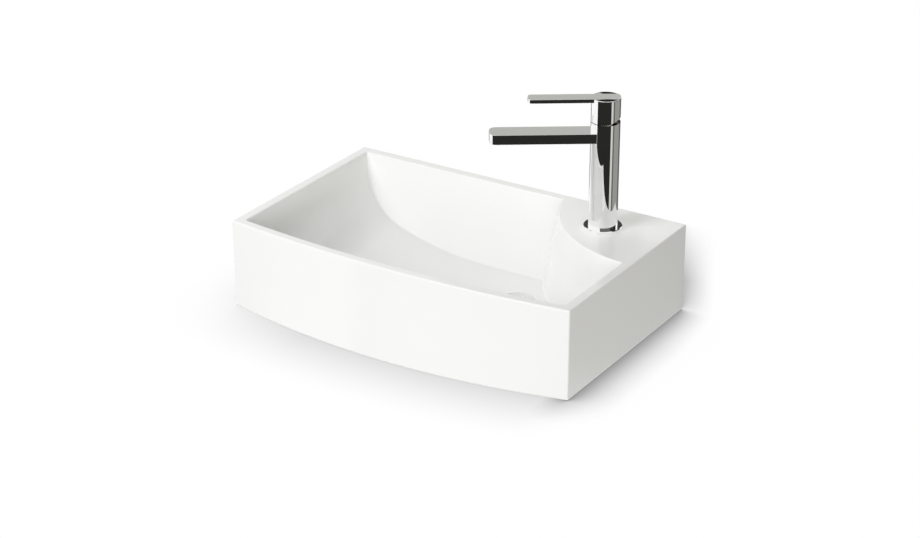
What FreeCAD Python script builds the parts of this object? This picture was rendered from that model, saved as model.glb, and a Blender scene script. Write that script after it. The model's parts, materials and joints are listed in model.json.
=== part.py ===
import FreeCAD, Part
import math
import os

# Wall-hung washbasin with a single-lever mixer tap, in millimetres.
# The origin is on the wall plane, midway between the two wall-bolt holes.
# +X runs to the right, +Y into the wall and +Z up.

# Gaps and cuts
overrun = 2.0
seat_gap = 0.1
run_gap = 0.05
free_gap = 0.4
tolerance = 0.001

# Basin shell
basin_width = 500.0
basin_depth = 300.0
basin_height = 120.0
bow_at_rim = 17.4
bow_at_base = 33.4
side_rim = 13.5
long_rim = 12.5
skirt_wall = 12.5
bowl_shell = 10.0
deck_thickness = 14.0
outer_round = 2.2
rim_round = 1.5

# Bowl: a ramp on the left that sweeps down to a flat floor, and leaning walls
floor_height = 18.4
ramp_radius = 108.0
sweep_radius = 570.0
ramp_turn = 15.0
long_wall_lean = 22.8
side_wall_lean = 4.0
bowl_round = 3.0

# Tap deck: a round shelf in the right back corner
deck_radius = 180.0
deck_centre_behind_wall = 33.0
deck_wall_lean = 10.0

# Wall fixing
bolt_spacing = 280.0
bolt_height = 32.0
bolt_hole_radius = 5.5
bush_radius = 8.0
bush_flange_radius = 13.0
bush_flange_thickness = 4.0

# Drain and waste
drain_from_side = 176.0
drain_from_wall = 125.0
drain_radius = 23.2
drain_boss_wall = 8.0
drain_ledge_thickness = 5.0
waste_thread_radius = 16.6
waste_tail_radius = 16.0
waste_bore_radius = 14.0
waste_flange_thickness = 2.4
waste_thread_length = 24.0
waste_tail_length = 40.0
waste_seal_thickness = 1.2
lower_seal_thickness = 2.5
lower_seal_radius = 25.0
slip_washer_thickness = 1.5
backnut_flats = 46.0
backnut_height = 9.0
grid_radius = 18.5
grid_thickness = 1.2
grid_hole_radius = 2.4
grid_hole_count = 8
grid_hole_circle = 11.0
bridge_half_width = 3.2
bridge_height = 5.0
grid_screw_radius = 2.0
grid_screw_head_radius = 3.8
grid_screw_head_height = 1.6
screw_slot_half_width = 0.5

# Tap, set back from the deck's round edge; its heights count from the deck and +X runs along the spout
tap_behind_edge = 49.7
tap_bearing = 48.5
tap_direction = 214.0
tap_hole_radius = 17.5
body_radius = 18.7
body_height = 145.6
foot_step = 2.7
foot_depth = 8.0
base_ring_radius = 25.1
base_ring_height = 4.2
base_ring_bevel = 0.7
base_seal_thickness = 1.0
base_seal_width = 5.0
base_seal_cover = 1.4

# Spout and aerator
spout_reach = 146.0
spout_width = 29.0
spout_thickness = 13.0
spout_drop = 12.1
spout_corner = 9.0
spout_wall = 2.0
chrome_edge = 0.4
channel_half_width = 6.2
aerator_reach = 129.0
aerator_radius = 8.0
aerator_height = 6.6
aerator_recess = 0.4
aerator_seal_thickness = 1.2
aerator_wall = 1.6
aerator_hole_radius = 1.2
aerator_hole_count = 6
aerator_hole_circle = 4.0
screen_thickness = 1.0
screen_hole_radius = 0.7
screen_hole_pitch = 2.2
screen_hole_rings = 2
screen_inner_holes = 6

# Mixing cartridge
cartridge_radius = 12.5
cartridge_neck_step = 1.1
cartridge_wall = 1.15
cartridge_floor = 2.0
cartridge_lip = 1.3
lip_overlap = 1.45
disc_thickness = 2.6
water_film = 0.05
moving_disc_radius = 7.0
moving_disc_tail = 2.4
mixing_pocket_radius = 4.2
mixing_pocket_back = 2.6
mixing_pocket_depth = 1.4
inlet_port_radius = 1.9
inlet_port_forward = 2.6
inlet_port_side = 4.2
outlet_port_radius = 2.3
outlet_port_back = 3.4
port_seal_width = 1.1
port_seal_thickness = 1.0
outlet_way_radius = 1.8
outlet_way_roof = 1.6
carrier_radius = 6.4
carrier_floor = 1.2
carrier_above_ball = 1.0
nut_height = 5.0
nut_wall = 2.8
nut_inset = 0.3
nut_notch_half_width = 1.5
nut_notch_depth = 2.0
nut_notch_count = 4
rotor_above_carrier = 1.0
rotor_above_pivot = 4.2
pin_radius = 1.5
pin_inset = 0.3

# Lever, its stem and its screw
groove = 1.0
cap_height = 31.9
cap_wall = 2.7
cap_ceiling = 4.5
cap_edge = 0.8
cap_fall = 0.5
cap_crown_radius = 8.0
lever_reach = 98.0
lever_width = 19.6
lever_thickness = 5.2
lever_corner = 5.0
lever_lift = 18.0
lift_spare = 0.5
stem_drop = 8.0
stem_ball_radius = 2.2
stem_neck_radius = 1.8
stem_half_thickness = 2.5
stem_half_width = 3.0
stem_below_pivot = 3.6
stem_above_pivot = 22.0
socket_boss_radius = 7.6
socket_above_pivot = 9.5
grub_screw_radius = 2.5
grub_screw_length = 4.4
grub_screw_above_pivot = 16.0
hex_key_flats = 2.5
hex_key_depth = 2.0

# Tap fixing below the deck, and the hollow of the body's foot where the hoses and the stud go in
hose_pocket_radius = 13.8
hose_pocket_rise = 1.0
inlet_socket_radius = 4.5
inlet_socket_depth = 11.0
inlet_socket_forward = 3.5
inlet_socket_side = 6.0
stud_radius = 4.0
stud_back = 9.5
stud_in_body = 12.0
stud_below_nut = 6.0
horseshoe_radius = 24.0
horseshoe_slot_half_width = 12.6
horseshoe_slot_back = 2.0
horseshoe_gasket_thickness = 2.0
horseshoe_washer_thickness = 2.5
stud_nut_flats = 13.0
stud_nut_height = 15.0

# Worked out: the basin
half_width = basin_width / 2
bottom_z = -bolt_height
rim_z = bottom_z + basin_height
floor_z = bottom_z + floor_height
deck_under_z = rim_z - deck_thickness
drain_x = half_width - drain_from_side
drain_y = -drain_from_wall
tap_to_centre = deck_radius - tap_behind_edge
tap_x = half_width - tap_to_centre * math.cos(math.radians(tap_bearing))
tap_y = deck_centre_behind_wall - tap_to_centre * math.sin(math.radians(tap_bearing))
ledge_z = bottom_z + drain_ledge_thickness
bush_bore_radius = bush_radius + seat_gap

# Worked out: the tap
pivot_z = body_height + groove / 2
cap_low = body_height + groove
cap_top = cap_low + cap_height
cap_rim = cap_top - cap_fall
ceiling_z = cap_top - cap_ceiling
lever_low = cap_top - lever_thickness
foot_radius = body_radius - foot_step
spout_top = body_height - spout_drop
spout_low = spout_top - spout_thickness
channel_low = spout_low + spout_wall
channel_high = spout_top - spout_wall
aerator_low = spout_low + aerator_recess
aerator_high = aerator_low + aerator_height
ball_z = pivot_z - stem_drop
stem_top = pivot_z + stem_above_pivot
grub_screw_z = pivot_z + grub_screw_above_pivot
carrier_low = ball_z - stem_ball_radius - free_gap - carrier_floor
carrier_high = ball_z + carrier_above_ball
moving_disc_low = carrier_low - disc_thickness
fixed_disc_low = moving_disc_low - water_film - disc_thickness
seat_z = fixed_disc_low - cartridge_floor
housing_top = body_height - nut_inset
shoulder_z = housing_top - nut_height
neck_radius = cartridge_radius - cartridge_neck_step
housing_bore = neck_radius - cartridge_wall
lip_low = housing_top - cartridge_lip
lip_radius = housing_bore - lip_overlap
nut_bore = neck_radius + seat_gap
nut_radius = nut_bore + nut_wall
outlet_way_z = seat_z - outlet_way_roof - outlet_way_radius
rotor_low = carrier_high + rotor_above_carrier
rotor_top = pivot_z + rotor_above_pivot
rotor_neck_radius = lip_radius - free_gap
inlet_socket_top = hose_pocket_rise + inlet_socket_depth
stud_top = hose_pocket_rise + stud_in_body
washer_high = -deck_thickness - horseshoe_gasket_thickness
washer_low = washer_high - horseshoe_washer_thickness
stud_nut_low = washer_low - stud_nut_height
inlet_ports = [(inlet_port_forward, -inlet_port_side), (inlet_port_forward, inlet_port_side)]
inlet_sockets = [(inlet_socket_forward, -inlet_socket_side), (inlet_socket_forward, inlet_socket_side)]

# Worked out: the waste
waste_seal_z = ledge_z + waste_seal_thickness
waste_top_z = waste_seal_z + waste_flange_thickness
waste_flange_radius = drain_radius - free_gap
neck_hole_radius = waste_thread_radius + free_gap
lower_seal_z = bottom_z - lower_seal_thickness
slip_washer_z = lower_seal_z - slip_washer_thickness
backnut_z = slip_washer_z - backnut_height
thread_end_z = bottom_z - waste_thread_length
tail_end_z = thread_end_z - waste_tail_length
grid_low = waste_top_z - grid_thickness
bridge_low = ledge_z - bridge_height


def point(x, y, z):
    return FreeCAD.Vector(x, y, z)


def upright(radius, low, high, x=0, y=0):
    """Round bar along Z between two heights."""
    return Part.makeCylinder(radius, high - low, point(x, y, low))


def through(radius, low, high, x=0, y=0):
    """Upright bar that cuts a round hole right through what lies between two heights."""
    return upright(radius, low - overrun, high + overrun, x, y)


def ring(outer, inner, low, high, x=0, y=0):
    """Upright tube between two heights."""
    return upright(outer, low, high, x, y).cut(through(inner, low, high, x, y))


def level(radius, start, end):
    """Round bar between two points."""
    way = end.sub(start)
    return Part.makeCylinder(radius, way.Length, start, way)


def block(x_low, x_high, half, low, high):
    """Box that is centred on the XZ plane."""
    return Part.makeBox(x_high - x_low, 2 * half, high - low, point(x_low, -half, low))


def around(count, radius):
    """Places spread evenly on a circle."""
    turns = [2 * math.pi * k / count for k in range(count)]
    return [(radius * math.cos(a), radius * math.sin(a)) for a in turns]


def hexagon(flats, low, high):
    """Upright hexagonal bar about the Z axis."""
    radius = flats / math.sqrt(3)
    places = around(6, radius)
    corners = [point(x, y, low) for x, y in places + places[:1]]
    return Part.Face(Part.makePolygon(corners)).extrude(point(0, 0, high - low))


def line(a, b):
    return Part.LineSegment(a, b).toShape()


def arc(a, middle, b):
    return Part.Arc(a, middle, b).toShape()


def cut_all(shape, tools):
    for tool in tools:
        shape = shape.cut(tool)
    return shape


def bow_at(z):
    """How far the front stands out at mid-width, at a height."""
    share = (z - bottom_z) / basin_height
    return bow_at_base + (bow_at_rim - bow_at_base) * share


def front_circle(z):
    """Radius of the front's arc at a height, and the Y of its centre."""
    bow = bow_at(z)
    radius = (half_width ** 2 + bow ** 2) / (2 * bow)
    return radius, radius - bow - basin_depth


def outline(z, back, half, radius, centre):
    """Closed outline at a height: straight back and sides, and an arc for the front."""
    corner = centre - math.sqrt(radius ** 2 - half ** 2)
    back_left = point(-half, back, z)
    front_left = point(-half, corner, z)
    front_right = point(half, corner, z)
    back_right = point(half, back, z)
    front = arc(front_left, point(0, centre - radius, z), front_right)
    sides = [line(back_left, front_left), front, line(front_right, back_right), line(back_right, back_left)]
    return Part.Wire(sides)


def skirt_space(inset, low, high):
    """Inside of the outer skin, moved in by an inset, between two heights."""
    outlines = []
    for z in (low, high):
        radius, centre = front_circle(z)
        outlines.append(outline(z, -inset, half_width - inset, radius - inset, centre))
    return Part.makeLoft(outlines, True, True)


def long_wall_space(grow, low, high):
    """Space between the leaning back wall of the bowl and its bowed front wall, which is part of a cone."""
    lean = math.radians(long_wall_lean)
    radius, centre = front_circle(rim_z)

    def inset(z):
        return long_rim + (rim_z - z) * math.tan(lean) - grow / math.cos(lean)

    front = Part.makeCone(radius - inset(low), radius - inset(high), high - low, point(0, centre, low))
    far = -basin_depth - bow_at_base
    places = [(far, low), (-inset(low), low), (-inset(high), high), (far, high), (far, low)]
    corners = [point(-half_width, y, z) for y, z in places]
    back = Part.Face(Part.makePolygon(corners)).extrude(point(basin_width, 0, 0))
    return front.common(back)


def ramp_space(grow):
    """Space above the ramp and the floor, left of the right wall."""
    turn = math.radians(ramp_turn)
    lean = math.radians(side_wall_lean)
    high = rim_z + overrun
    low = floor_z - grow
    step = sweep_radius - ramp_radius
    ramp_z = floor_z + sweep_radius - step * math.cos(turn)
    ramp_x = side_rim - half_width + math.sqrt(ramp_radius ** 2 - (rim_z - ramp_z) ** 2)
    sweep_x = ramp_x + step * math.sin(turn)
    sweep_z = floor_z + sweep_radius

    def on_ramp(angle):
        radius = ramp_radius + grow
        return point(ramp_x - radius * math.sin(angle), 0, ramp_z - radius * math.cos(angle))

    def on_sweep(angle):
        radius = sweep_radius + grow
        return point(sweep_x - radius * math.sin(angle), 0, sweep_z - radius * math.cos(angle))

    start = math.acos((ramp_z - high) / (ramp_radius + grow))
    wall_x = half_width - side_rim + grow / math.cos(lean)
    foot = point(wall_x - (rim_z - low) * math.tan(lean), 0, low)
    head = point(wall_x + overrun * math.tan(lean), 0, high)
    ramp = arc(on_ramp(start), on_ramp((start + turn) / 2), on_ramp(turn))
    sweep = arc(on_ramp(turn), on_sweep(turn / 2), on_sweep(0))
    sides = [ramp, sweep, line(on_sweep(0), foot), line(foot, head), line(head, on_ramp(start))]
    return Part.Face(Part.Wire(sides)).extrude(point(0, -basin_depth - bow_at_base, 0))


def deck_cone(grow, low, high):
    """The round tap deck and the leaning wall below its edge."""
    lean = math.radians(deck_wall_lean)

    def radius(z):
        return deck_radius + (rim_z - z) * math.tan(lean) - grow / math.cos(lean)

    base = point(half_width, deck_centre_behind_wall, low)
    return Part.makeCone(radius(low), radius(high), high - low, base)


def bowl_space(grow):
    """Room inside the bowl, with every wall moved out by the grow value."""
    low = floor_z - grow - overrun
    high = rim_z + overrun
    walls = ramp_space(grow).common(long_wall_space(grow, low, high))
    return walls.cut(deck_cone(grow, low - overrun, high + overrun))


def off_the_wall(edge):
    return edge.BoundBox.YMin < -tolerance


def on_bowl_rim(edge):
    """True for the edges where the flat rim turns down into the bowl."""
    box = edge.BoundBox
    flat = abs(box.ZMin - rim_z) < tolerance and abs(box.ZMax - rim_z) < tolerance
    middle = edge.valueAt((edge.FirstParameter + edge.LastParameter) / 2)
    radius, centre = front_circle(rim_z)
    front = centre - math.sqrt(radius ** 2 - middle.x ** 2)
    inside = abs(middle.x) < half_width - side_rim / 2 and middle.y < -long_rim / 2
    return flat and inside and middle.y > front + long_rim / 2


def rounded(shape, radius, test):
    return shape.makeFillet(radius, [edge for edge in shape.Edges if test(edge)])


def in_bowl_corner(edge):
    """True where the bowl's walls and floor meet, and not for the seams across its smooth ramp."""
    box = edge.BoundBox
    seam = box.XLength < tolerance and box.XMax < drain_x
    return box.ZMin < rim_z - tolerance and not seam


def basin_body():
    """Cast shell: bowed skin, bowl, tap deck, open underside, drain boss and holes."""
    skin = rounded(skirt_space(0, bottom_z, rim_z), outer_round, off_the_wall)
    bowl = rounded(bowl_space(0), bowl_round, in_bowl_corner)
    shell = rounded(skin.cut(bowl), rim_round, on_bowl_rim)
    underside = skirt_space(skirt_wall, bottom_z - overrun, deck_under_z).cut(bowl_space(bowl_shell))
    shell = shell.cut(underside)
    boss = upright(drain_radius + drain_boss_wall, bottom_z, floor_z - bowl_shell / 2, drain_x, drain_y)
    shell = shell.fuse(boss)
    holes = [
        upright(drain_radius, ledge_z, floor_z + overrun, drain_x, drain_y),
        through(neck_hole_radius, bottom_z, ledge_z, drain_x, drain_y),
        through(tap_hole_radius, deck_under_z, rim_z, tap_x, tap_y),
    ]
    for side in (-1, 1):
        x = side * bolt_spacing / 2
        holes.append(level(bush_bore_radius, point(x, overrun, 0), point(x, -skirt_wall - overrun, 0)))
    return cut_all(shell, holes).removeSplitter()


def wall_fixing_bushes():
    """Flanged plastic bushes, pushed into the bolt holes from inside the basin."""
    bushes = []
    flange_end = -skirt_wall - bush_flange_thickness
    for side in (-1, 1):
        x = side * bolt_spacing / 2
        sleeve = level(bush_radius, point(x, 0, 0), point(x, -skirt_wall, 0))
        flange = level(bush_flange_radius, point(x, -skirt_wall, 0), point(x, flange_end, 0))
        hole = level(bolt_hole_radius, point(x, overrun, 0), point(x, flange_end - overrun, 0))
        bushes.append(sleeve.fuse(flange).cut(hole).removeSplitter())
    return Part.makeCompound(bushes)


def at_drain(shape):
    shape.translate(point(drain_x, drain_y, 0))
    return shape


def waste_body():
    """Flange, threaded neck and plain tail, with a bridge across the bore for the grid's screw."""
    flange = upright(waste_flange_radius, waste_seal_z, waste_top_z)
    neck = upright(waste_thread_radius, thread_end_z, waste_seal_z)
    tail = upright(waste_tail_radius, tail_end_z, thread_end_z)
    body = flange.fuse(neck).fuse(tail)
    body = body.cut(through(waste_bore_radius, tail_end_z, waste_top_z))
    body = body.cut(upright(grid_radius + seat_gap, grid_low, waste_top_z + overrun))
    inside = upright(waste_bore_radius + seat_gap, bridge_low, ledge_z)
    bridge = block(-waste_thread_radius, waste_thread_radius, bridge_half_width, bridge_low, ledge_z)
    body = body.fuse(bridge.common(inside))
    return body.cut(through(grid_screw_radius + seat_gap, bridge_low, ledge_z)).removeSplitter()


def waste_grid():
    """Drilled plate that keeps things out of the waste."""
    plate = upright(grid_radius, grid_low, waste_top_z)
    holes = [through(grid_screw_radius + seat_gap, grid_low, waste_top_z)]
    for x, y in around(grid_hole_count, grid_hole_circle):
        holes.append(through(grid_hole_radius, grid_low, waste_top_z, x, y))
    return cut_all(plate, holes)


def waste_grid_screw():
    """Slotted screw that holds the grid on the bridge."""
    head_top = waste_top_z + grid_screw_head_height
    head = upright(grid_screw_head_radius, waste_top_z, head_top)
    screw = head.fuse(upright(grid_screw_radius, bridge_low, waste_top_z))
    reach = grid_screw_head_radius + overrun
    slot_low = waste_top_z + grid_screw_head_height / 2
    slot = block(-reach, reach, screw_slot_half_width, slot_low, head_top + overrun)
    return screw.cut(slot)


def waste_backnut():
    """Hexagon nut that clamps the waste under the drain boss."""
    bore = through(waste_thread_radius + seat_gap, backnut_z, slip_washer_z)
    return hexagon(backnut_flats, backnut_z, slip_washer_z).cut(bore)


def waste_pieces():
    thread = waste_thread_radius + seat_gap
    return {
        "waste_body": waste_body(),
        "waste_top_seal": ring(waste_flange_radius, thread, ledge_z, waste_seal_z),
        "waste_grid": waste_grid(),
        "waste_grid_screw": waste_grid_screw(),
        "waste_lower_seal": ring(lower_seal_radius, thread, lower_seal_z, bottom_z),
        "waste_slip_washer": ring(lower_seal_radius, thread, slip_washer_z, lower_seal_z),
        "waste_backnut": waste_backnut(),
    }


def at_tap(shape):
    """Turns a tap piece to its direction and stands it on the deck."""
    shape.rotate(point(0, 0, 0), point(0, 0, 1), tap_direction)
    shape.translate(point(tap_x, tap_y, rim_z))
    return shape


def flat_edge(edge):
    return edge.BoundBox.ZLength < tolerance


def bar(reach, width, corner, low, high):
    """Flat bar from the tap's axis, with a round back that follows the body and rounded tip corners."""
    half = width / 2
    back = math.sqrt(body_radius ** 2 - half ** 2)
    turn = corner * (1 - math.sqrt(0.5))
    left = [point(-back, -half, low), point(reach - corner, -half, low), point(reach, corner - half, low)]
    right = [point(reach, half - corner, low), point(reach - corner, half, low), point(-back, half, low)]
    sides = [
        line(left[0], left[1]),
        arc(left[1], point(reach - turn, turn - half, low), left[2]),
        line(left[2], right[0]),
        arc(right[0], point(reach - turn, half - turn, low), right[1]),
        line(right[1], right[2]),
        arc(right[2], point(-body_radius, 0, low), left[0]),
    ]
    solid = Part.Face(Part.Wire(sides)).extrude(point(0, 0, high - low))
    return rounded(solid, chrome_edge, flat_edge)


def tap_base_ring():
    """Bevelled ring between body and deck, hollowed below for its seal."""
    disc = upright(base_ring_radius, 0, base_ring_height)
    top_edges = [edge for edge in disc.Edges if edge.BoundBox.ZMin > base_ring_height - tolerance]
    disc = disc.makeChamfer(base_ring_bevel, top_edges)
    bore = through(foot_radius + seat_gap, 0, base_ring_height)
    recess = upright(base_ring_radius - base_seal_cover, -overrun, base_seal_thickness)
    return disc.cut(bore).cut(recess)


def tap_base_seal():
    outer = base_ring_radius - base_seal_cover - seat_gap
    return ring(outer, outer - base_seal_width, 0, base_seal_thickness)


def tap_body():
    """Turned body: cartridge seat on top, water ways inside, and a hollow foot that enters the tap hole."""
    foot = upright(foot_radius, -foot_depth, base_ring_height)
    body = foot.fuse(upright(body_radius, base_ring_height, body_height))
    socket_low = hose_pocket_rise - overrun
    outlet_start = point(-outlet_port_back, 0, outlet_way_z)
    tools = [
        upright(cartridge_radius + seat_gap, seat_z, body_height + overrun),
        upright(nut_radius + seat_gap, shoulder_z, body_height + overrun),
        upright(outlet_port_radius, outlet_way_z, seat_z + overrun, -outlet_port_back),
        level(outlet_way_radius, outlet_start, point(body_radius, 0, outlet_way_z)),
        upright(hose_pocket_radius, -foot_depth - overrun, hose_pocket_rise),
        upright(stud_radius + seat_gap, socket_low, stud_top, -stud_back),
    ]
    for x, y in inlet_ports:
        tools.append(through(inlet_port_radius, inlet_socket_top, seat_z, x, y))
    for x, y in inlet_sockets:
        tools.append(upright(inlet_socket_radius, socket_low, inlet_socket_top, x, y))
    return cut_all(body, tools).removeSplitter()


def tap_spout():
    """Flat bar brazed to the body, hollow from the body's outlet to the aerator."""
    spout = bar(spout_reach, spout_width, spout_corner, spout_low, spout_top)
    pocket_high = aerator_high + aerator_seal_thickness
    tools = [
        through(body_radius, spout_low, spout_top),
        block(0, aerator_reach + channel_half_width, channel_half_width, channel_low, channel_high),
        upright(aerator_radius + seat_gap, spout_low - overrun, pocket_high, aerator_reach),
    ]
    return cut_all(spout, tools)


def aerator_insert():
    """Plastic cup with a drilled top plate and room for the screen below."""
    cup = upright(aerator_radius, aerator_low, aerator_high, aerator_reach)
    room = aerator_radius - aerator_wall
    tools = [upright(room, aerator_low - overrun, aerator_high - aerator_wall, aerator_reach)]
    for x, y in around(aerator_hole_count, aerator_hole_circle):
        hole = upright(aerator_hole_radius, aerator_low, aerator_high + overrun, aerator_reach + x, y)
        tools.append(hole)
    return cut_all(cup, tools)


def aerator_screen():
    """Round screen in the mouth of the aerator, with a hole in the middle and rings of holes round it."""
    radius = aerator_radius - aerator_wall - seat_gap
    top = aerator_low + screen_thickness
    screen = upright(radius, aerator_low, top, aerator_reach)
    places = [(0, 0)]
    for k in range(1, screen_hole_rings + 1):
        places += around(screen_inner_holes * k, screen_hole_pitch * k)
    holes = [through(screen_hole_radius, aerator_low, top, aerator_reach + x, y) for x, y in places]
    return cut_all(screen, holes)


def spout_pieces():
    seal_inner = channel_half_width - seat_gap
    seal_high = aerator_high + aerator_seal_thickness
    return {
        "tap_spout": tap_spout(),
        "aerator_seal": ring(aerator_radius, seal_inner, aerator_high, seal_high, aerator_reach),
        "aerator_insert": aerator_insert(),
        "aerator_screen": aerator_screen(),
    }


def ports(low, high, extra):
    """Bars through the two inlet ports and the outlet port, wider by the extra value."""
    bars = [upright(inlet_port_radius + extra, low, high, x, y) for x, y in inlet_ports]
    bars.append(upright(outlet_port_radius + extra, low, high, -outlet_port_back))
    return bars


def cartridge_housing():
    """Plastic cup with three ports below, a shoulder for the nut and a lip that keeps the rotor in."""
    housing = upright(cartridge_radius, seat_z, shoulder_z)
    housing = housing.fuse(upright(neck_radius, shoulder_z, housing_top))
    tools = [upright(housing_bore, fixed_disc_low, lip_low), through(lip_radius, lip_low, housing_top)]
    tools += ports(seat_z - overrun, fixed_disc_low + overrun, 0)
    tools += ports(seat_z - overrun, seat_z + port_seal_thickness, port_seal_width + seat_gap)
    return cut_all(housing, tools).removeSplitter()


def cartridge_port_seals():
    seals = ports(seat_z, seat_z + port_seal_thickness, port_seal_width)
    holes = ports(seat_z - overrun, seat_z + port_seal_thickness + overrun, 0)
    return Part.makeCompound([seal.cut(hole) for seal, hole in zip(seals, holes)])


def fixed_ceramic_disc():
    top = fixed_disc_low + disc_thickness
    disc = upright(housing_bore - seat_gap, fixed_disc_low, top)
    return cut_all(disc, ports(fixed_disc_low - overrun, top + overrun, 0))


def moving_ceramic_disc():
    """Long disc with a mixing pocket below, which joins the ports as it slides forward."""
    high = carrier_low
    disc = upright(moving_disc_radius, moving_disc_low, high)
    disc = disc.fuse(upright(moving_disc_radius, moving_disc_low, high, -moving_disc_tail))
    disc = disc.fuse(block(-moving_disc_tail, 0, moving_disc_radius, moving_disc_low, high)).removeSplitter()
    pocket_top = moving_disc_low + mixing_pocket_depth
    return disc.cut(upright(mixing_pocket_radius, moving_disc_low - overrun, pocket_top, -mixing_pocket_back))


def disc_carrier():
    """Plastic carrier on the moving disc, with a socket for the stem's ball."""
    carrier = upright(carrier_radius, carrier_low, carrier_high)
    socket_low = carrier_low + carrier_floor
    return carrier.cut(upright(stem_ball_radius + free_gap, socket_low, carrier_high + overrun))


def cartridge_rotor():
    """Turning top of the cartridge, slotted for the stem and cross-drilled for its pin."""
    rotor = upright(housing_bore - run_gap, rotor_low, lip_low - free_gap)
    rotor = rotor.fuse(upright(rotor_neck_radius, rotor_low, rotor_top)).removeSplitter()
    swing = math.sin(math.radians(lever_lift)) * (pivot_z - rotor_low)
    slot_half = stem_half_width + swing + free_gap
    slot = block(-slot_half, slot_half, stem_half_width + free_gap, rotor_low - overrun, rotor_top + overrun)
    side = rotor_neck_radius + overrun
    hole = level(pin_radius + run_gap, point(0, -side, pivot_z), point(0, side, pivot_z))
    return rotor.cut(slot).cut(hole)


def pivot_pin():
    side = rotor_neck_radius - pin_inset
    return level(pin_radius, point(0, -side, pivot_z), point(0, side, pivot_z))


def lever_stem():
    """Stem with a ball below, an eye on the pin and a square end for the handle."""
    eye_low = pivot_z - stem_below_pivot
    eye_high = pivot_z + stem_below_pivot
    stem = Part.makeSphere(stem_ball_radius, point(0, 0, ball_z))
    stem = stem.fuse(upright(stem_neck_radius, ball_z, eye_low + stem_half_thickness))
    stem = stem.fuse(block(-stem_half_thickness, stem_half_thickness, stem_half_width, eye_low, eye_high))
    stem = stem.fuse(block(-stem_half_width, stem_half_width, stem_half_width, eye_high, stem_top))
    side = stem_half_width + overrun
    hole = level(pin_radius + run_gap, point(0, -side, pivot_z), point(0, side, pivot_z))
    return stem.cut(hole).removeSplitter()


def cartridge_nut():
    """Ring nut with spanner notches, which holds the cartridge down."""
    nut = ring(nut_radius, nut_bore, shoulder_z, housing_top)
    notches = []
    notch_low = housing_top - nut_notch_depth
    notch_high = housing_top + overrun
    for k in range(nut_notch_count):
        notch = block(nut_bore - overrun, nut_radius + overrun, nut_notch_half_width, notch_low, notch_high)
        notch.rotate(point(0, 0, 0), point(0, 0, 1), 360 * k / nut_notch_count)
        notches.append(notch)
    return cut_all(nut, notches)


def on_cap_rim(edge):
    return flat_edge(edge) and abs(edge.BoundBox.ZMin - cap_rim) < tolerance


def lever_handle():
    """Cap and lever plate in one casting, cut away at the lower back so that the lever can lift."""
    crown = Part.makeCone(body_radius, cap_crown_radius, cap_fall, point(0, 0, cap_rim))
    cap = upright(body_radius, cap_low, cap_rim).fuse(crown).removeSplitter()
    cap = rounded(cap, cap_edge, on_cap_rim)
    cap = cap.cut(upright(body_radius - cap_wall, cap_low - overrun, ceiling_z))
    socket_low = pivot_z + socket_above_pivot
    cap = cap.fuse(upright(socket_boss_radius, socket_low, cap_top - cap_ceiling / 2))
    handle = cap.fuse(bar(lever_reach, lever_width, lever_corner, lever_low, cap_top)).removeSplitter()
    half = stem_half_width + seat_gap
    socket = block(-half, half, half, socket_low - overrun, stem_top + seat_gap)
    screw_end = point(body_radius + overrun, 0, grub_screw_z)
    screw_way = level(grub_screw_radius + seat_gap, point(0, 0, grub_screw_z), screw_end)
    back = -body_radius - overrun
    rise = math.tan(math.radians(lever_lift + lift_spare)) * -back
    wedge = [point(0, back, pivot_z), point(back, back, pivot_z + rise), point(back, back, pivot_z)]
    notch = Part.Face(Part.makePolygon(wedge + wedge[:1])).extrude(point(0, -2 * back, 0))
    return cut_all(handle, [socket, screw_way, notch])


def lever_grub_screw():
    """Hexagon-socket screw in the handle's boss, tightened against the stem."""
    end = stem_half_width + grub_screw_length
    screw = level(grub_screw_radius, point(stem_half_width, 0, grub_screw_z), point(end, 0, grub_screw_z))
    key = hexagon(hex_key_flats, 0, hex_key_depth + overrun)
    key.rotate(point(0, 0, 0), point(0, 1, 0), 90)
    key.translate(point(end - hex_key_depth, 0, grub_screw_z))
    return screw.cut(key)


def cartridge_pieces():
    return {
        "cartridge_port_seals": cartridge_port_seals(),
        "cartridge_housing": cartridge_housing(),
        "fixed_ceramic_disc": fixed_ceramic_disc(),
        "moving_ceramic_disc": moving_ceramic_disc(),
        "disc_carrier": disc_carrier(),
        "cartridge_rotor": cartridge_rotor(),
        "pivot_pin": pivot_pin(),
        "lever_stem": lever_stem(),
        "cartridge_nut": cartridge_nut(),
        "lever_handle": lever_handle(),
        "lever_grub_screw": lever_grub_screw(),
    }


def horseshoe(low, high):
    """Open washer round the inlet sockets, drilled for the stud."""
    disc = upright(horseshoe_radius, low, high)
    slot_start = inlet_socket_forward - inlet_socket_radius - horseshoe_slot_back
    slot_end = horseshoe_radius + overrun
    slot = block(slot_start, slot_end, horseshoe_slot_half_width, low - overrun, high + overrun)
    return disc.cut(slot).cut(through(stud_radius + seat_gap, low, high, -stud_back))


def stud_nut():
    nut = hexagon(stud_nut_flats, stud_nut_low, washer_low)
    nut = nut.cut(through(stud_radius + seat_gap, stud_nut_low, washer_low))
    nut.translate(point(-stud_back, 0, 0))
    return nut


def fixing_pieces():
    stud_low = stud_nut_low - stud_below_nut
    return {
        "tap_base_ring": tap_base_ring(),
        "tap_base_seal": tap_base_seal(),
        "tap_body": tap_body(),
        "mounting_stud": upright(stud_radius, stud_low, stud_top, -stud_back),
        "horseshoe_gasket": horseshoe(washer_high, -deck_thickness),
        "horseshoe_washer": horseshoe(washer_low, washer_high),
        "stud_nut": stud_nut(),
    }


def all_pieces():
    pieces = {"basin_body": basin_body(), "wall_fixing_bushes": wall_fixing_bushes()}
    for name, shape in waste_pieces().items():
        pieces[name] = at_drain(shape)
    for group in (fixing_pieces(), spout_pieces(), cartridge_pieces()):
        for name, shape in group.items():
            pieces[name] = at_tap(shape)
    return pieces


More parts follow.
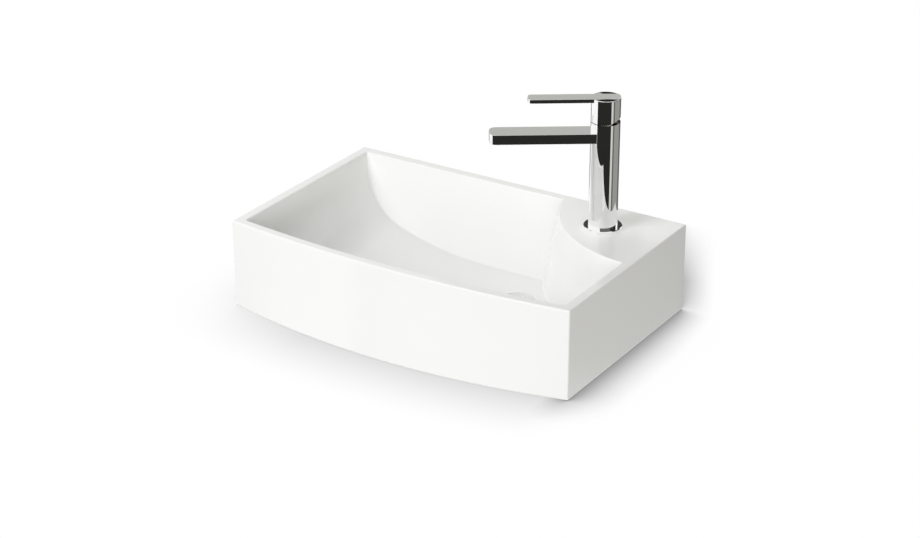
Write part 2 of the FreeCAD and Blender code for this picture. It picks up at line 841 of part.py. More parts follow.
os.makedirs("parts", exist_ok=True)
for piece_name, piece in all_pieces().items():
    piece.exportStep("parts/" + piece_name + ".step")
    print(piece_name, len(piece.Solids), piece.isValid(), round(piece.Volume))
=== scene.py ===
import json
import math

import bpy
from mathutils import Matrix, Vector


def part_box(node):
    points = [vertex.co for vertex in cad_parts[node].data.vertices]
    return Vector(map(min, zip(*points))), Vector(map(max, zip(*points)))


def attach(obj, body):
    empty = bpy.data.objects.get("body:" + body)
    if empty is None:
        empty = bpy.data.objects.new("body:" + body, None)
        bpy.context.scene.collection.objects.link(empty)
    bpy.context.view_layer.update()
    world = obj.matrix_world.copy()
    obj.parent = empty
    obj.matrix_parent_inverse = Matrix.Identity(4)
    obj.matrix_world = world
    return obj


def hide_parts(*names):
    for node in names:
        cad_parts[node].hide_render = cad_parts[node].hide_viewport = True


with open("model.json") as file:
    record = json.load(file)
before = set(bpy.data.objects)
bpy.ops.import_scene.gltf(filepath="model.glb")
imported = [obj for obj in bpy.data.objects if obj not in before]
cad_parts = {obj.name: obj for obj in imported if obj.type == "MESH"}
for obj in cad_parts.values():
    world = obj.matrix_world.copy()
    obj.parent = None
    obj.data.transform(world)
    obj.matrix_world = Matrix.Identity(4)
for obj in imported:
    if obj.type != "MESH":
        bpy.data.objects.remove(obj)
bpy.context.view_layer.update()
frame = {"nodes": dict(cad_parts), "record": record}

# Wall-hung washbasin with a single-lever mixer tap: finishes, threads, stage, light and camera.
# Lengths are metres in the frame of the solids: +X right along the wall, +Y into the wall, +Z up.

# Places that the solids give
rim_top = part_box("basin_body")[1].z
tap_axis = sum(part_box("tap_base_ring"), Vector()) / 2

# Patterns: detail of the noise, and the part of its range that is stretched from the first to the second tone
NOISE_DETAIL = 3.0
FINE_DETAIL = 2.0
NOISE_LOW, NOISE_HIGH = 0.3, 0.7
FINE_DEPTH = 0.0001
NO_STRETCH = (1.0, 1.0, 1.0)

# Sockets of the Mix node, which share their names
MIX_VALUES, MIX_VALUE_OUT = (2, 3), 0
MIX_COLOURS, MIX_COLOUR_OUT = (6, 7), 2

# White glaze: tones, gloss, faint ripple, and the plain unglazed face against the wall.
# Grain is in cells per metre here and below.
GLAZE_TONES = (0.855, 0.856, 0.855), (0.870, 0.870, 0.869)
GLAZE_CLOUDS = 7.0
GLAZE_REFRACTION = 1.5
GLAZE_SPECULAR = 0.42
GLAZE_ROUGHNESS = 0.13, 0.18
GLAZE_ROUGHNESS_GRAIN = 18.0
GLAZE_RIPPLE, GLAZE_RIPPLE_DEPTH = 0.03, 0.0002
GLAZE_RIPPLE_GRAIN = 260.0
UNGLAZED_TONE = (0.74, 0.73, 0.70, 1.0)
UNGLAZED_ROUGHNESS = 0.62
UNGLAZED_FACING = 0.93, 0.97

# Chrome plate
CHROME_TONES = (0.955, 0.957, 0.960), (0.970, 0.972, 0.974)
CHROME_HAZE = 45.0
CHROME_ROUGHNESS = 0.02, 0.05
CHROME_ROUGHNESS_GRAIN = 30.0

# Turned brass
BRASS_TONES = (0.62, 0.44, 0.19), (0.74, 0.55, 0.27)
BRASS_CLOUDS = 90.0
BRASS_RINGS, BRASS_RING_WANDER = 420.0, 1.4
BRASS_ROUGHNESS = 0.22, 0.32
BRASS_RELIEF = 0.12

# Drawn steel
STEEL_TONES = (0.56, 0.57, 0.58), (0.66, 0.67, 0.68)
STEEL_LINES = 900.0
STEEL_LINE_STRETCH = (1.0, 1.0, 0.05)
STEEL_ROUGHNESS = 0.24, 0.38
STEEL_RELIEF = 0.1

# Moulded and pressed finishes by slot: name, two tones, two values of roughness and grain of the skin
MOULDED_CLOUDS = 60.0
MOULDED_RELIEF = 0.15
MOULDED = {
    "black_rubber": ("rubber_black", (0.018, 0.018, 0.018), (0.035, 0.035, 0.035), 0.58, 0.70, 700.0),
    "white_plastic": ("plastic_white", (0.80, 0.80, 0.78), (0.86, 0.86, 0.84), 0.38, 0.50, 500.0),
    "grey_plastic": ("plastic_grey", (0.34, 0.35, 0.37), (0.42, 0.43, 0.45), 0.42, 0.54, 500.0),
    "disc_ceramic": ("disc_ceramic", (0.86, 0.86, 0.83), (0.92, 0.92, 0.90), 0.22, 0.34, 900.0),
}

# Screw threads: pitch, height of the ridge, and steps of the mesh in each turn
STUD_PITCH = 0.00125
STUD_RIDGE = 0.00062
STUD_END_CHAMFER = 0.0011
STUD_SIDES = 36
STUD_STEPS = 8
NECK_RADIUS = 0.0166
NECK_PITCH = 0.00231
NECK_RIDGE = 0.00115
NECK_RIDGE_CORNERS = 4
NECK_BURIED = 0.00035
NECK_STEPS = 72
NECK_THREAD_LOW = -0.0547
NECK_THREAD_HIGH = -0.0464

# Camera
IMAGE_WIDTH = 920
FOCAL_PIXELS = 2322
SENSOR_WIDTH = 36.0
CAMERA_PLACE = Vector((1.4565, -2.458, 1.292))
CAMERA_AZIMUTH = math.radians(32.22)
CAMERA_ELEVATION = math.radians(24.95)

# Tints of the light: warm in the shade, faintly cool from the key
WHITE = (1.0, 1.0, 1.0)
WARM = (1.0, 0.994, 0.945)
FAINTLY_WARM = (1.0, 0.998, 0.975)
FAINTLY_COOL = (0.968, 0.977, 1.0)

# Even light from all round
AMBIENT = 0.385

# Large soft lamps: bearing from straight in front and elevation in degrees, width, watts and tint
LAMP_AIM = Vector((0.0, -0.15, 0.05))
LAMP_DISTANCE = 3.2
LAMPS = [
    ("key_lamp", -21, 31, 1.5, 52.3, FAINTLY_COOL),
    ("right_lamp", 40, 8, 1.5, 34.0, WARM),
    ("back_lamp", -126, 47, 3.0, 38.5, FAINTLY_WARM),
]

# White boards under and behind the basin, which carry its painted soft contact shadow: reach and depth on
# each side.
# The painted dark round stands in for the shade down the waste pipe, where it goes through the floor.
BOARD_GAP = 0.0006
BOARD_MARGIN = 0.30
BOARD_IN_DIFFUSE = 0.54
PIPE_SHADE_RADIUS = 0.0165
PIPE_DARKNESS = 0.97
SHADOW_SAMPLES = 24
MOST_COVERED = 0.52
FRONT_SHADOW_REACH = 0.11
FRONT_SHADOW = 0.58
FRONT_SHADOW_RIGHT = 0.05
RIGHT_SHADOW_REACH = 0.062
RIGHT_SHADOW = 1.03
NEAR_WALL = 0.12
WALL_SHADOW_REACH = 0.046
WALL_SHADOW = 1.02
WALL_SHADOW_TOP = 0.12
WALL_FADE_FROM = 0.35
LEFT_FADE = 0.13
RIGHT_FADE = 0.03

# Upright screens round the tap that only mirror surfaces see: bearings in degrees, heights, brightness where
# the chrome shows them, and brightness in the light that the chrome throws on the basin
SCREEN_RADIUS = 1.25
SCREEN_LOW = -0.74
SCREEN_SPLIT = 0.30
SCREEN_MIDDLE = 0.62
SCREEN_HIGH = 1.70
SCREEN_STEP = 4.0
FLAG_GLOW = 0.021
PLAIN_THROW = 1.0
FRONT_THROW = 3.6
SCREENS = [
    ("front_flag", -127, -17.5, SCREEN_LOW, SCREEN_SPLIT, FLAG_GLOW, FRONT_THROW),
    ("right_strip", -17.5, -1, SCREEN_LOW, SCREEN_SPLIT, 0.62, FRONT_THROW),
    ("right_flag", -1, 12, SCREEN_LOW, SCREEN_SPLIT, 0.13, PLAIN_THROW),
    ("right_screen", 12, 68, SCREEN_LOW, SCREEN_SPLIT, 0.30, PLAIN_THROW),
    ("back_flag", 68, 142, SCREEN_LOW, SCREEN_SPLIT, 0.12, PLAIN_THROW),
    ("left_screen", 142, 158, SCREEN_LOW, SCREEN_SPLIT, 0.45, PLAIN_THROW),
    ("high_left_screen", -202, -127, SCREEN_SPLIT, SCREEN_MIDDLE, 0.40, PLAIN_THROW),
    ("high_middle_screen", -127, -83, SCREEN_SPLIT, SCREEN_MIDDLE, 0.28, FRONT_THROW),
    ("high_front_screen", -83, -1, SCREEN_SPLIT, SCREEN_HIGH, 0.14, FRONT_THROW),
    ("high_right_flag", -1, 62, SCREEN_SPLIT, SCREEN_HIGH, 0.03, PLAIN_THROW),
]

# Small cards behind the tap that only mirror surfaces see: left and right end, heights and brightness
CARD_PLACE = 0.50
CARDS = [
    ("low_card", -0.24, 0.09, 0.370, 0.405, FLAG_GLOW),
    ("spout_card", -0.24, -0.012, 0.405, 0.437, 0.48),
    ("cap_card", -0.012, 0.09, 0.405, 0.437, FLAG_GLOW),
    ("lever_card", -0.24, 0.09, 0.437, 0.487, 0.48),
    ("high_card", -0.24, 0.09, 0.487, 0.620, FLAG_GLOW),
    ("ring_card", -0.056, 0.056, 0.302, 0.338, 0.05),
]

# Level card above the tap that only mirror surfaces see
CEILING_HEIGHT = 1.70
CEILING_REACH = 0.45
CEILING_GLOW = 0.50

# One face over four corners
ONE_FACE = [(0, 1, 2, 3)]


def part(tree, kind, inputs=None, **settings):
    """Adds a node, with its settings and its constant inputs."""
    node = tree.nodes.new(kind)
    for name, value in settings.items():
        setattr(node, name, value)
    for name, value in (inputs or {}).items():
        node.inputs[name].default_value = value
    return node


def reckon(tree, operation, first, second):
    """Sum of two values, or another operation on them. A plain number stays on its own socket."""
    node = part(tree, "ShaderNodeMath", operation=operation)
    for slot, value in enumerate((first, second)):
        if isinstance(value, float):
            node.inputs[slot].default_value = value
        else:
            tree.links.new(value, node.inputs[slot])
    return node.outputs[0]


def new_finish(name):
    """Fresh material with a Principled shader. Returns the material, its tree and the shader."""
    finish = bpy.data.materials.new(name)
    finish.use_nodes = True
    return finish, finish.node_tree, finish.node_tree.nodes["Principled BSDF"]


def bare_finish(name):
    """Fresh material with an empty tree. Returns both."""
    finish = bpy.data.materials.new(name)
    finish.use_nodes = True
    finish.node_tree.nodes.clear()
    return finish, finish.node_tree


def grain(tree, scale, detail=NOISE_DETAIL, stretch=NO_STRETCH):
    """Noise on the piece's own coordinates, in cells per metre."""
    place = part(tree, "ShaderNodeTexCoord")
    turn = part(tree, "ShaderNodeMapping", {"Scale": stretch})
    noise = part(tree, "ShaderNodeTexNoise", {"Scale": scale, "Detail": detail})
    tree.links.new(place.outputs["Object"], turn.inputs["Vector"])
    tree.links.new(turn.outputs["Vector"], noise.inputs["Vector"])
    return noise.outputs["Fac"]


def spread(tree, source, low, high, start=NOISE_LOW, end=NOISE_HIGH):
    """Stretches a pattern over a range of values."""
    limits = {"From Min": start, "From Max": end, "To Min": low, "To Max": high}
    node = part(tree, "ShaderNodeMapRange", limits)
    tree.links.new(source, node.inputs["Value"])
    return node.outputs["Result"]


def two_tone(tree, source, first, second):
    """Colour that runs from the first to the second where the noise runs from its low to its high."""
    node = part(tree, "ShaderNodeMix", data_type="RGBA")
    for socket, tone in zip(MIX_COLOURS, (first, second)):
        node.inputs[socket].default_value = (*tone, 1.0)
    tree.links.new(spread(tree, source, 0.0, 1.0), node.inputs["Factor"])
    return node.outputs[MIX_COLOUR_OUT]


def roughen(tree, shader, source, strength, depth=FINE_DEPTH):
    """Fine relief from a pattern, with its depth in metres."""
    bump = part(tree, "ShaderNodeBump", {"Strength": strength, "Distance": depth})
    tree.links.new(source, bump.inputs["Height"])
    tree.links.new(bump.outputs["Normal"], shader.inputs["Normal"])


def unglazed(tree):
    """1 on the face against the wall, 0 elsewhere."""
    facing = part(tree, "ShaderNodeNewGeometry")
    split = part(tree, "ShaderNodeSeparateXYZ")
    tree.links.new(facing.outputs["Normal"], split.inputs["Vector"])
    return spread(tree, split.outputs["Y"], 0.0, 1.0, *UNGLAZED_FACING)


def basin_white_finish():
    """White glaze with a soft gloss, and a plain unglazed face against the wall."""
    finish, tree, shader = new_finish("basin_white_glaze")
    shader.inputs["IOR"].default_value = GLAZE_REFRACTION
    shader.inputs["Specular IOR Level"].default_value = GLAZE_SPECULAR
    raw = unglazed(tree)
    colour = part(tree, "ShaderNodeMix", data_type="RGBA")
    colour.inputs[MIX_COLOURS[1]].default_value = UNGLAZED_TONE
    tree.links.new(raw, colour.inputs["Factor"])
    tree.links.new(two_tone(tree, grain(tree, GLAZE_CLOUDS), *GLAZE_TONES), colour.inputs[MIX_COLOURS[0]])
    tree.links.new(colour.outputs[MIX_COLOUR_OUT], shader.inputs["Base Color"])
    gloss = part(tree, "ShaderNodeMix", data_type="FLOAT")
    gloss.inputs[MIX_VALUES[1]].default_value = UNGLAZED_ROUGHNESS
    tree.links.new(raw, gloss.inputs["Factor"])
    glazed = spread(tree, grain(tree, GLAZE_ROUGHNESS_GRAIN), *GLAZE_ROUGHNESS)
    tree.links.new(glazed, gloss.inputs[MIX_VALUES[0]])
    tree.links.new(gloss.outputs[MIX_VALUE_OUT], shader.inputs["Roughness"])
    roughen(tree, shader, grain(tree, GLAZE_RIPPLE_GRAIN, FINE_DETAIL), GLAZE_RIPPLE, GLAZE_RIPPLE_DEPTH)
    return finish


def chrome_finish():
    """Polished chrome plate, with the faint haze of a hand-polished casting."""
    finish, tree, shader = new_finish("chrome_polished")
    shader.inputs["Metallic"].default_value = 1.0
    tree.links.new(two_tone(tree, grain(tree, CHROME_HAZE), *CHROME_TONES), shader.inputs["Base Color"])
    polish = spread(tree, grain(tree, CHROME_ROUGHNESS_GRAIN), *CHROME_ROUGHNESS)
    tree.links.new(polish, shader.inputs["Roughness"])
    return finish


def brass_finish(name, node):
    """Brass turned on a lathe: fine rings from the tool about the upright axis of a node."""
    axis = sum(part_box(node), Vector()) / 2
    finish, tree, shader = new_finish(name)
    shader.inputs["Metallic"].default_value = 1.0
    place = part(tree, "ShaderNodeTexCoord")
    centre = part(tree, "ShaderNodeMapping", {"Location": (-axis.x, -axis.y, 0.0)})
    wave = {"Scale": BRASS_RINGS, "Distortion": BRASS_RING_WANDER, "Detail": FINE_DETAIL}
    rings = part(tree, "ShaderNodeTexWave", wave, wave_type="RINGS", rings_direction="Z")
    tree.links.new(place.outputs["Object"], centre.inputs["Vector"])
    tree.links.new(centre.outputs["Vector"], rings.inputs["Vector"])
    tree.links.new(two_tone(tree, grain(tree, BRASS_CLOUDS), *BRASS_TONES), shader.inputs["Base Color"])
    tree.links.new(spread(tree, rings.outputs["Fac"], *BRASS_ROUGHNESS, 0.0, 1.0), shader.inputs["Roughness"])
    roughen(tree, shader, rings.outputs["Fac"], BRASS_RELIEF)
    return finish


def steel_finish():
    """Drawn stainless steel, with fine lines along the upright axis."""
    finish, tree, shader = new_finish("steel_drawn")
    shader.inputs["Metallic"].default_value = 1.0
    lines = grain(tree, STEEL_LINES, FINE_DETAIL, STEEL_LINE_STRETCH)
    tree.links.new(two_tone(tree, lines, *STEEL_TONES), shader.inputs["Base Color"])
    tree.links.new(spread(tree, lines, *STEEL_ROUGHNESS), shader.inputs["Roughness"])
    roughen(tree, shader, lines, STEEL_RELIEF)
    return finish


def moulded_finish(name, dark, pale, smooth, rough, texture):
    """Moulded plastic or rubber, or pressed ceramic, with a fine skin texture."""
    finish, tree, shader = new_finish(name)
    skin = grain(tree, texture)
    tree.links.new(two_tone(tree, grain(tree, MOULDED_CLOUDS), dark, pale), shader.inputs["Base Color"])
    tree.links.new(spread(tree, skin, smooth, rough), shader.inputs["Roughness"])
    roughen(tree, shader, skin, MOULDED_RELIEF)
    return finish


def dress(finishes, turned_apart):
    """Gives every solid the finish of its slot, and nuts that were turned on another axis their own."""
    for row in frame["record"]["subparts"]:
        node = frame["nodes"][row["node"]]
        node.data.materials[0] = turned_apart.get(row["node"], finishes[row["material_slot"]])


def new_tree(name, lengths, counts):
    """Geometry Nodes tree with named inputs for lengths, counts, the place and the finish.
    Returns it and its inputs."""
    tree = bpy.data.node_groups.new(name, "GeometryNodeTree")
    rows = [(label, "NodeSocketFloat") for label in lengths]
    rows += [(label, "NodeSocketInt") for label in counts]
    rows += [("Place", "NodeSocketVector"), ("Finish", "NodeSocketMaterial")]
    for label, kind in rows:
        tree.interface.new_socket(label, in_out="INPUT", socket_type=kind)
    tree.interface.new_socket("Shape", in_out="OUTPUT", socket_type="NodeSocketGeometry")
    return tree, part(tree, "NodeGroupInput").outputs


def end_tree(tree, given, shape):
    """Sets the shape down at its place as real, painted mesh."""
    moved = part(tree, "GeometryNodeTransform")
    real = part(tree, "GeometryNodeRealizeInstances")
    painted = part(tree, "GeometryNodeSetMaterial")
    out = part(tree, "NodeGroupOutput")
    tree.links.new(shape, moved.inputs["Geometry"])
    tree.links.new(given["Place"], moved.inputs["Translation"])
    tree.links.new(moved.outputs["Geometry"], real.inputs["Geometry"])
    tree.links.new(real.outputs["Geometry"], painted.inputs["Geometry"])
    tree.links.new(given["Finish"], painted.inputs["Material"])
    tree.links.new(painted.outputs["Geometry"], out.inputs["Shape"])


def rod_tree():
    """Threaded rod: a round bar whose radius follows the ridge round and along it, with chamfered ends."""
    lengths = ["Length", "Radius", "Ridge", "Pitch", "Chamfer"]
    tree, given = new_tree("threaded_rod", lengths, ["Sides", "Steps"])
    bar = part(tree, "GeometryNodeMeshCylinder", fill_type="NGON")
    sizes = {"Sides": "Vertices", "Steps": "Side Segments", "Radius": "Radius", "Length": "Depth"}
    for source, target in sizes.items():
        tree.links.new(given[source], bar.inputs[target])
    place = part(tree, "GeometryNodeInputPosition")
    split = part(tree, "ShaderNodeSeparateXYZ")
    tree.links.new(place.outputs[0], split.inputs[0])
    # Depth of the groove: it rises and falls once in each pitch, and its phase follows the turn
    turn = reckon(tree, "ARCTAN2", split.outputs["Y"], split.outputs["X"])
    climb = reckon(tree, "DIVIDE", split.outputs["Z"], given["Pitch"])
    phase = reckon(tree, "SUBTRACT", climb, reckon(tree, "DIVIDE", turn, 2.0 * math.pi))
    groove = reckon(tree, "MULTIPLY", reckon(tree, "PINGPONG", phase, 0.5), 2.0)
    cut = reckon(tree, "MULTIPLY", groove, given["Ridge"])
    # Depth of the chamfer: it grows towards each end
    from_middle = reckon(tree, "ABSOLUTE", split.outputs["Z"], 0.0)
    from_end = reckon(tree, "SUBTRACT", reckon(tree, "MULTIPLY", given["Length"], 0.5), from_middle)
    end_cut = reckon(tree, "SUBTRACT", given["Chamfer"], from_end)
    # The deeper of the two draws the surface in
    depth = reckon(tree, "DIVIDE", reckon(tree, "MAXIMUM", cut, end_cut), given["Radius"])
    ratio = reckon(tree, "SUBTRACT", 1.0, depth)
    factors = part(tree, "ShaderNodeCombineXYZ", {"Z": 1.0})
    drawn_in = part(tree, "ShaderNodeVectorMath", operation="MULTIPLY")
    shaped = part(tree, "GeometryNodeSetPosition")
    tree.links.new(ratio, factors.inputs["X"])
    tree.links.new(ratio, factors.inputs["Y"])
    tree.links.new(place.outputs[0], drawn_in.inputs[0])
    tree.links.new(factors.outputs[0], drawn_in.inputs[1])
    tree.links.new(bar.outputs["Mesh"], shaped.inputs["Geometry"])
    tree.links.new(drawn_in.outputs[0], shaped.inputs["Position"])
    end_tree(tree, given, shaped.outputs["Geometry"])
    return tree


def ridge_tree():
    """Thread ridge on a hollow neck: a diamond section swept up a helix, with closed ends."""
    tree, given = new_tree("thread_ridge", ["Length", "Radius", "Ridge", "Pitch"], ["Steps"])
    helix = part(tree, "GeometryNodeCurveSpiral")
    tree.links.new(given["Steps"], helix.inputs["Resolution"])
    tree.links.new(reckon(tree, "DIVIDE", given["Length"], given["Pitch"]), helix.inputs["Rotations"])
    for source, target in (("Radius", "Start Radius"), ("Radius", "End Radius"), ("Length", "Height")):
        tree.links.new(given[source], helix.inputs[target])
    level = part(tree, "GeometryNodeSetCurveNormal")
    level.mode = "Z_UP"
    section = part(tree, "GeometryNodeCurvePrimitiveCircle", {"Resolution": NECK_RIDGE_CORNERS})
    swept = part(tree, "GeometryNodeCurveToMesh", {"Fill Caps": True})
    tree.links.new(helix.outputs["Curve"], level.inputs["Curve"])
    tree.links.new(given["Ridge"], section.inputs["Radius"])
    tree.links.new(level.outputs["Curve"], swept.inputs["Curve"])
    tree.links.new(section.outputs["Curve"], swept.inputs["Profile Curve"])
    end_tree(tree, given, swept.outputs["Mesh"])
    return tree


def grown(name, tree, values):
    """Plain mesh piece from a tree. Its inputs are set by their identifiers before it is worked out."""
    seed = bpy.data.objects.new(name + "_seed", bpy.data.meshes.new(name + "_seed"))
    bpy.context.scene.collection.objects.link(seed)
    modifier = seed.modifiers.new("shape", "NODES")
    modifier.node_group = tree
    for item in tree.interface.items_tree:
        if item.in_out == "INPUT":
            modifier[item.identifier] = values[item.name]
    mesh = bpy.data.meshes.new_from_object(seed.evaluated_get(bpy.context.evaluated_depsgraph_get()))
    bpy.data.objects.remove(seed)
    piece = bpy.data.objects.new(name, mesh)
    bpy.context.scene.collection.objects.link(piece)
    return piece


def mounting_stud(finish):
    """The tap's fixing stud with its thread, in the place of the plain solid."""
    low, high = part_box("mounting_stud")
    length = high.z - low.z
    stud = grown("mounting_stud_threaded", rod_tree(), {
        "Length": length, "Radius": (high.x - low.x) / 2, "Ridge": STUD_RIDGE, "Pitch": STUD_PITCH,
        "Chamfer": STUD_END_CHAMFER, "Sides": STUD_SIDES, "Steps": round(STUD_STEPS * length / STUD_PITCH),
        "Place": (low + high) / 2, "Finish": finish,
    })
    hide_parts("mounting_stud")
    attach(stud, "basin")


def waste_thread(finish):
    """Thread below the backnut on the neck of the waste."""
    low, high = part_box("waste_body")
    ridge = grown("waste_neck_thread", ridge_tree(), {
        "Length": NECK_THREAD_HIGH - NECK_THREAD_LOW, "Radius": NECK_RADIUS - NECK_BURIED,
        "Ridge": NECK_RIDGE, "Pitch": NECK_PITCH, "Steps": NECK_STEPS, "Finish": finish,
        "Place": Vector(((low.x + high.x) / 2, (low.y + high.y) / 2, NECK_THREAD_LOW)),
    })
    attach(ridge, "basin")


def seen_directly(tree):
    """1 for rays from the camera and for mirror and glass rays, 0 for the light that reaches the object."""
    path = part(tree, "ShaderNodeLightPath")
    seen = reckon(tree, "MAXIMUM", path.outputs["Is Camera Ray"], path.outputs["Is Glossy Ray"])
    return reckon(tree, "MAXIMUM", seen, path.outputs["Is Transmission Ray"])


def studio_air():
    """Even light from all round, with a white background behind everything."""
    world = bpy.data.worlds.new("studio_air")
    bpy.context.scene.world = world
    world.use_nodes = True
    tree = world.node_tree
    tree.nodes.clear()
    even = part(tree, "ShaderNodeBackground", {"Color": (*WARM, 1.0), "Strength": AMBIENT})
    white = part(tree, "ShaderNodeBackground", {"Color": (*WHITE, 1.0), "Strength": 1.0})
    mix = part(tree, "ShaderNodeMixShader")
    out = part(tree, "ShaderNodeOutputWorld")
    tree.links.new(seen_directly(tree), mix.inputs["Fac"])
    tree.links.new(even.outputs[0], mix.inputs[1])
    tree.links.new(white.outputs[0], mix.inputs[2])
    tree.links.new(mix.outputs[0], out.inputs["Surface"])


def glowing(tree, strength, tint=WHITE):
    """Even glow. The strength is a number or a pattern."""
    node = part(tree, "ShaderNodeEmission", {"Color": (*tint, 1.0)})
    if isinstance(strength, float):
        node.inputs["Strength"].default_value = strength
    else:
        tree.links.new(strength, node.inputs["Strength"])
    return node.outputs[0]


def along(tree, axis, start, end, low, high):
    """Value that runs from low to high between two places on an axis."""
    place = part(tree, "ShaderNodeTexCoord")
    split = part(tree, "ShaderNodeSeparateXYZ")
    tree.links.new(place.outputs["Object"], split.inputs["Vector"])
    return spread(tree, split.outputs[axis], low, high, start, end)


def contact_shadow(tree, reach, depth):
    """Painted shade near the basin, from an ambient occlusion node. The reach is a number or runs along an
    axis.
    """
    near = part(tree, "ShaderNodeAmbientOcclusion", samples=SHADOW_SAMPLES)
    if isinstance(reach, float):
        near.inputs["Distance"].default_value = reach
    else:
        tree.links.new(reach, near.inputs["Distance"])
    covered = reckon(tree, "SUBTRACT", 1.0, near.outputs["AO"])
    return reckon(tree, "MULTIPLY", reckon(tree, "MINIMUM", covered, MOST_COVERED), depth)


def painted_pipe_shade(tree):
    """Painted dark round that stands in for the shade down the waste pipe, where it goes through the floor
    board.
    """
    waste = sum(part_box("waste_body"), Vector()) / 2
    place = part(tree, "ShaderNodeTexCoord")
    level = part(tree, "ShaderNodeVectorMath", operation="MULTIPLY")
    level.inputs[1].default_value = (1.0, 1.0, 0.0)
    far = part(tree, "ShaderNodeVectorMath", operation="DISTANCE")
    far.inputs[1].default_value = (waste.x, waste.y, 0.0)
    tree.links.new(place.outputs["Object"], level.inputs[0])
    tree.links.new(level.outputs[0], far.inputs[0])
    inside = reckon(tree, "LESS_THAN", far.outputs["Value"], PIPE_SHADE_RADIUS)
    return reckon(tree, "MULTIPLY", inside, PIPE_DARKNESS)


def floor_shadow(tree):
    """Painted shade: none on the lit left, wide and soft in front, narrow and deep on the right, and painted
    dark in the waste pipe.
    """
    basin_low, basin_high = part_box("basin_body")
    left, right = basin_low.x, basin_high.x
    wall = basin_high.y
    drop = FRONT_SHADOW - FRONT_SHADOW_RIGHT
    rising = along(tree, "X", left - LEFT_FADE, left + LEFT_FADE, 0.0, FRONT_SHADOW)
    falling = along(tree, "X", right - RIGHT_FADE, right + RIGHT_FADE, 0.0, drop)
    front = contact_shadow(tree, FRONT_SHADOW_REACH, reckon(tree, "SUBTRACT", rising, falling))
    reach = along(tree, "Y", wall - NEAR_WALL, wall, RIGHT_SHADOW_REACH, WALL_SHADOW_REACH)
    depth = along(tree, "Y", wall - NEAR_WALL, wall, RIGHT_SHADOW, WALL_SHADOW)
    beside = along(tree, "X", right - RIGHT_FADE, right, 0.0, 1.0)
    side = contact_shadow(tree, reach, reckon(tree, "MULTIPLY", depth, beside))
    return reckon(tree, "MAXIMUM", reckon(tree, "ADD", front, side), painted_pipe_shade(tree))


def wall_shadow(tree):
    """Painted soft shadow beside the basin's right back edge, fading out towards the rim."""
    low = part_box("basin_body")[0].z
    fade_from = low + (rim_top - low) * WALL_FADE_FROM
    depth = along(tree, "Z", fade_from, rim_top, WALL_SHADOW, WALL_SHADOW_TOP)
    return contact_shadow(tree, WALL_SHADOW_REACH, depth)


def board_finish(name, shadow):
    """White with a painted soft shadow for the camera, pale for the light that it gives back, clear from
    behind.
    """
    finish, tree = bare_finish(name)
    shade = reckon(tree, "SUBTRACT", 1.0, shadow(tree))
    path = part(tree, "ShaderNodeLightPath")
    by_ray = part(tree, "ShaderNodeMixShader")
    tree.links.new(path.outputs["Is Camera Ray"], by_ray.inputs["Fac"])
    tree.links.new(glowing(tree, BOARD_IN_DIFFUSE), by_ray.inputs[1])
    tree.links.new(glowing(tree, shade), by_ray.inputs[2])
    side = part(tree, "ShaderNodeNewGeometry")
    clear = part(tree, "ShaderNodeBsdfTransparent")
    by_side = part(tree, "ShaderNodeMixShader")
    tree.links.new(side.outputs["Backfacing"], by_side.inputs["Fac"])
    tree.links.new(by_ray.outputs[0], by_side.inputs[1])
    tree.links.new(clear.outputs[0], by_side.inputs[2])
    out = part(tree, "ShaderNodeOutputMaterial")
    tree.links.new(by_side.outputs[0], out.inputs["Surface"])
    return finish


def stage_panel(name, points, faces, finish):
    """Stage piece that casts no shadow and doesn't show in mirror surfaces."""
    mesh = bpy.data.meshes.new(name)
    mesh.from_pydata(points, [], faces)
    mesh.materials.append(finish)
    item = bpy.data.objects.new(name, mesh)
    bpy.context.scene.collection.objects.link(item)
    item.visible_glossy = False
    item.visible_transmission = False
    item.visible_shadow = False
    return item


def boards():
    """Pale floor board under the basin and a low board behind its right half, up to the height of its rim."""
    basin_low, basin_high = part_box("basin_body")
    left = basin_low.x - BOARD_MARGIN
    right = basin_high.x + BOARD_MARGIN
    front = basin_low.y - BOARD_MARGIN
    back = basin_high.y + BOARD_GAP
    low = basin_low.z - BOARD_GAP
    floor = [(left, front, low), (right, front, low), (right, back, low), (left, back, low)]
    wall = [(0.0, back, low), (right, back, low), (right, back, rim_top), (0.0, back, rim_top)]
    stage_panel("floor_board", floor, ONE_FACE, board_finish("floor_white", floor_shadow))
    behind = stage_panel("wall_board", wall, ONE_FACE, board_finish("wall_white", wall_shadow))
    behind.visible_diffuse = False


def even_tone(name, glow, thrown):
    """Paint of one tone where the chrome shows it, and another in the light that it throws on the basin."""
    finish, tree = bare_finish(name)
    path = part(tree, "ShaderNodeLightPath")
    tone = spread(tree, path.outputs["Diffuse Depth"], glow, thrown, 0.0, 1.0)
    out = part(tree, "ShaderNodeOutputMaterial")
    tree.links.new(glowing(tree, tone, WARM), out.inputs["Surface"])
    return finish


def mirror_only(name, points, faces, glow, thrown=PLAIN_THROW):
    """Stage screen of an even tone that only mirror surfaces see."""
    screen = stage_panel(name, points, faces, even_tone(name + "_paint", glow, thrown))
    screen.visible_camera = False
    screen.visible_diffuse = False
    screen.visible_glossy = True


def screen_edge(start, end, height):
    """Points on the round of the screens, from one bearing to another."""
    steps = max(1, round((end - start) / SCREEN_STEP))
    turns = [math.radians(start + (end - start) * k / steps) for k in range(steps + 1)]
    foot = Vector((tap_axis.x, tap_axis.y, height))
    return [foot + Vector((math.cos(a), math.sin(a), 0.0)) * SCREEN_RADIUS for a in turns]


def mirror_screens():
    """Upright screens about the tap, which give the chrome its bands."""
    for name, start, end, low, high, glow, thrown in SCREENS:
        lower = screen_edge(start, end, low)
        upper = screen_edge(start, end, high)
        n = len(lower)
        faces = [(k, k + 1, n + k + 1, n + k) for k in range(n - 1)]
        mirror_only(name, lower + upper, faces, glow, thrown)


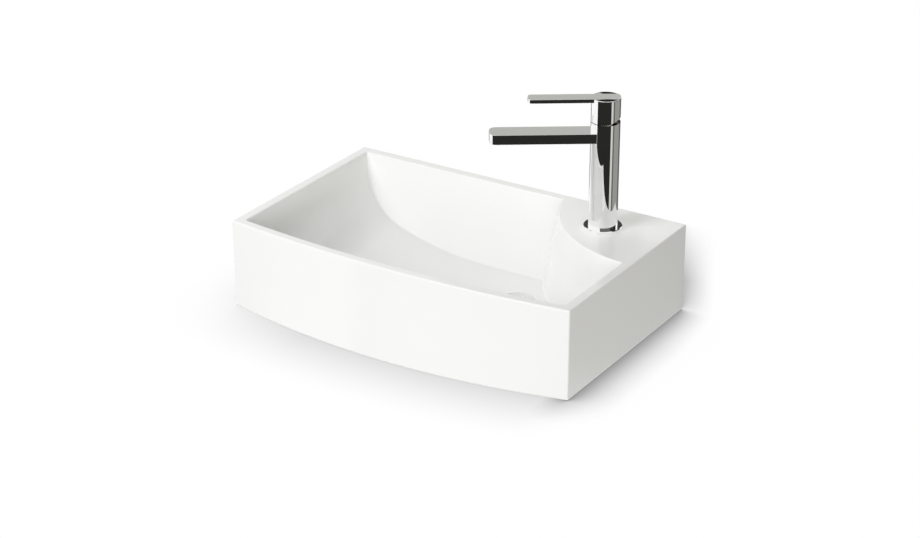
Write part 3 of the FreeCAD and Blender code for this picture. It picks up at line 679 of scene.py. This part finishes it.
def mirror_cards():
    """Small cards beyond the tap and one above it, for the flat tops of the spout and the lever."""
    away = Vector((tap_axis.x - CAMERA_PLACE.x, tap_axis.y - CAMERA_PLACE.y, 0.0)).normalized()
    across = Vector((away.y, -away.x, 0.0))
    foot = Vector((tap_axis.x, tap_axis.y, 0.0)) + away * CARD_PLACE
    for name, left, right, low, high, glow in CARDS:
        corners = ((left, low), (right, low), (right, high), (left, high))
        points = [foot + across * side + Vector((0.0, 0.0, z)) for side, z in corners]
        mirror_only(name, points, ONE_FACE, glow)
    over = Vector((tap_axis.x, tap_axis.y, CEILING_HEIGHT))
    corners = ((-1, -1), (1, -1), (1, 1), (-1, 1))
    points = [over + Vector((x, y, 0.0)) * CEILING_REACH for x, y in corners]
    mirror_only("ceiling_card", points, ONE_FACE, CEILING_GLOW)


def outward(bearing, elevation):
    """Direction at a bearing from straight in front, towards the right, and at an elevation."""
    level = math.cos(elevation)
    return Vector((math.sin(bearing) * level, -math.cos(bearing) * level, math.sin(elevation)))


def soft_lamp(name, bearing, elevation, width, watts, tint):
    """Large soft lamp that lights the object but isn't mirrored in it."""
    out = outward(math.radians(bearing), math.radians(elevation))
    lamp = bpy.data.lights.new(name, "AREA")
    lamp.shape = "DISK"
    lamp.size = width
    lamp.energy = watts
    lamp.color = tint
    item = bpy.data.objects.new(name, lamp)
    item.location = LAMP_AIM + out * LAMP_DISTANCE
    item.rotation_euler = (-out).to_track_quat("-Z", "Y").to_euler()
    item.visible_camera = False
    item.visible_glossy = False
    bpy.context.scene.collection.objects.link(item)


def camera():
    """Camera at the photograph's place and angle."""
    eye = bpy.data.cameras.new("camera")
    eye.sensor_width = SENSOR_WIDTH
    eye.lens = SENSOR_WIDTH * FOCAL_PIXELS / IMAGE_WIDTH
    item = bpy.data.objects.new("camera", eye)
    item.location = CAMERA_PLACE
    back = outward(CAMERA_AZIMUTH, CAMERA_ELEVATION)
    item.rotation_euler = (-back).to_track_quat("-Z", "Y").to_euler()
    bpy.context.scene.collection.objects.link(item)
    bpy.context.scene.camera = item


chrome = chrome_finish()
steel = steel_finish()
slot_finishes = {slot: moulded_finish(*row) for slot, row in MOULDED.items()}
slot_finishes.update({
    "basin_white": basin_white_finish(),
    "chrome": chrome,
    "brass": brass_finish("brass_turned", "cartridge_nut"),
    "steel": steel,
})
dress(slot_finishes, {
    "waste_backnut": brass_finish("brass_turned_backnut", "waste_backnut"),
    "stud_nut": brass_finish("brass_turned_stud_nut", "stud_nut"),
})
mounting_stud(steel)
waste_thread(chrome)
studio_air()
boards()
mirror_screens()
mirror_cards()
for lamp_row in LAMPS:
    soft_lamp(*lamp_row)
camera()
bpy.context.scene.view_settings.view_transform = "Standard"
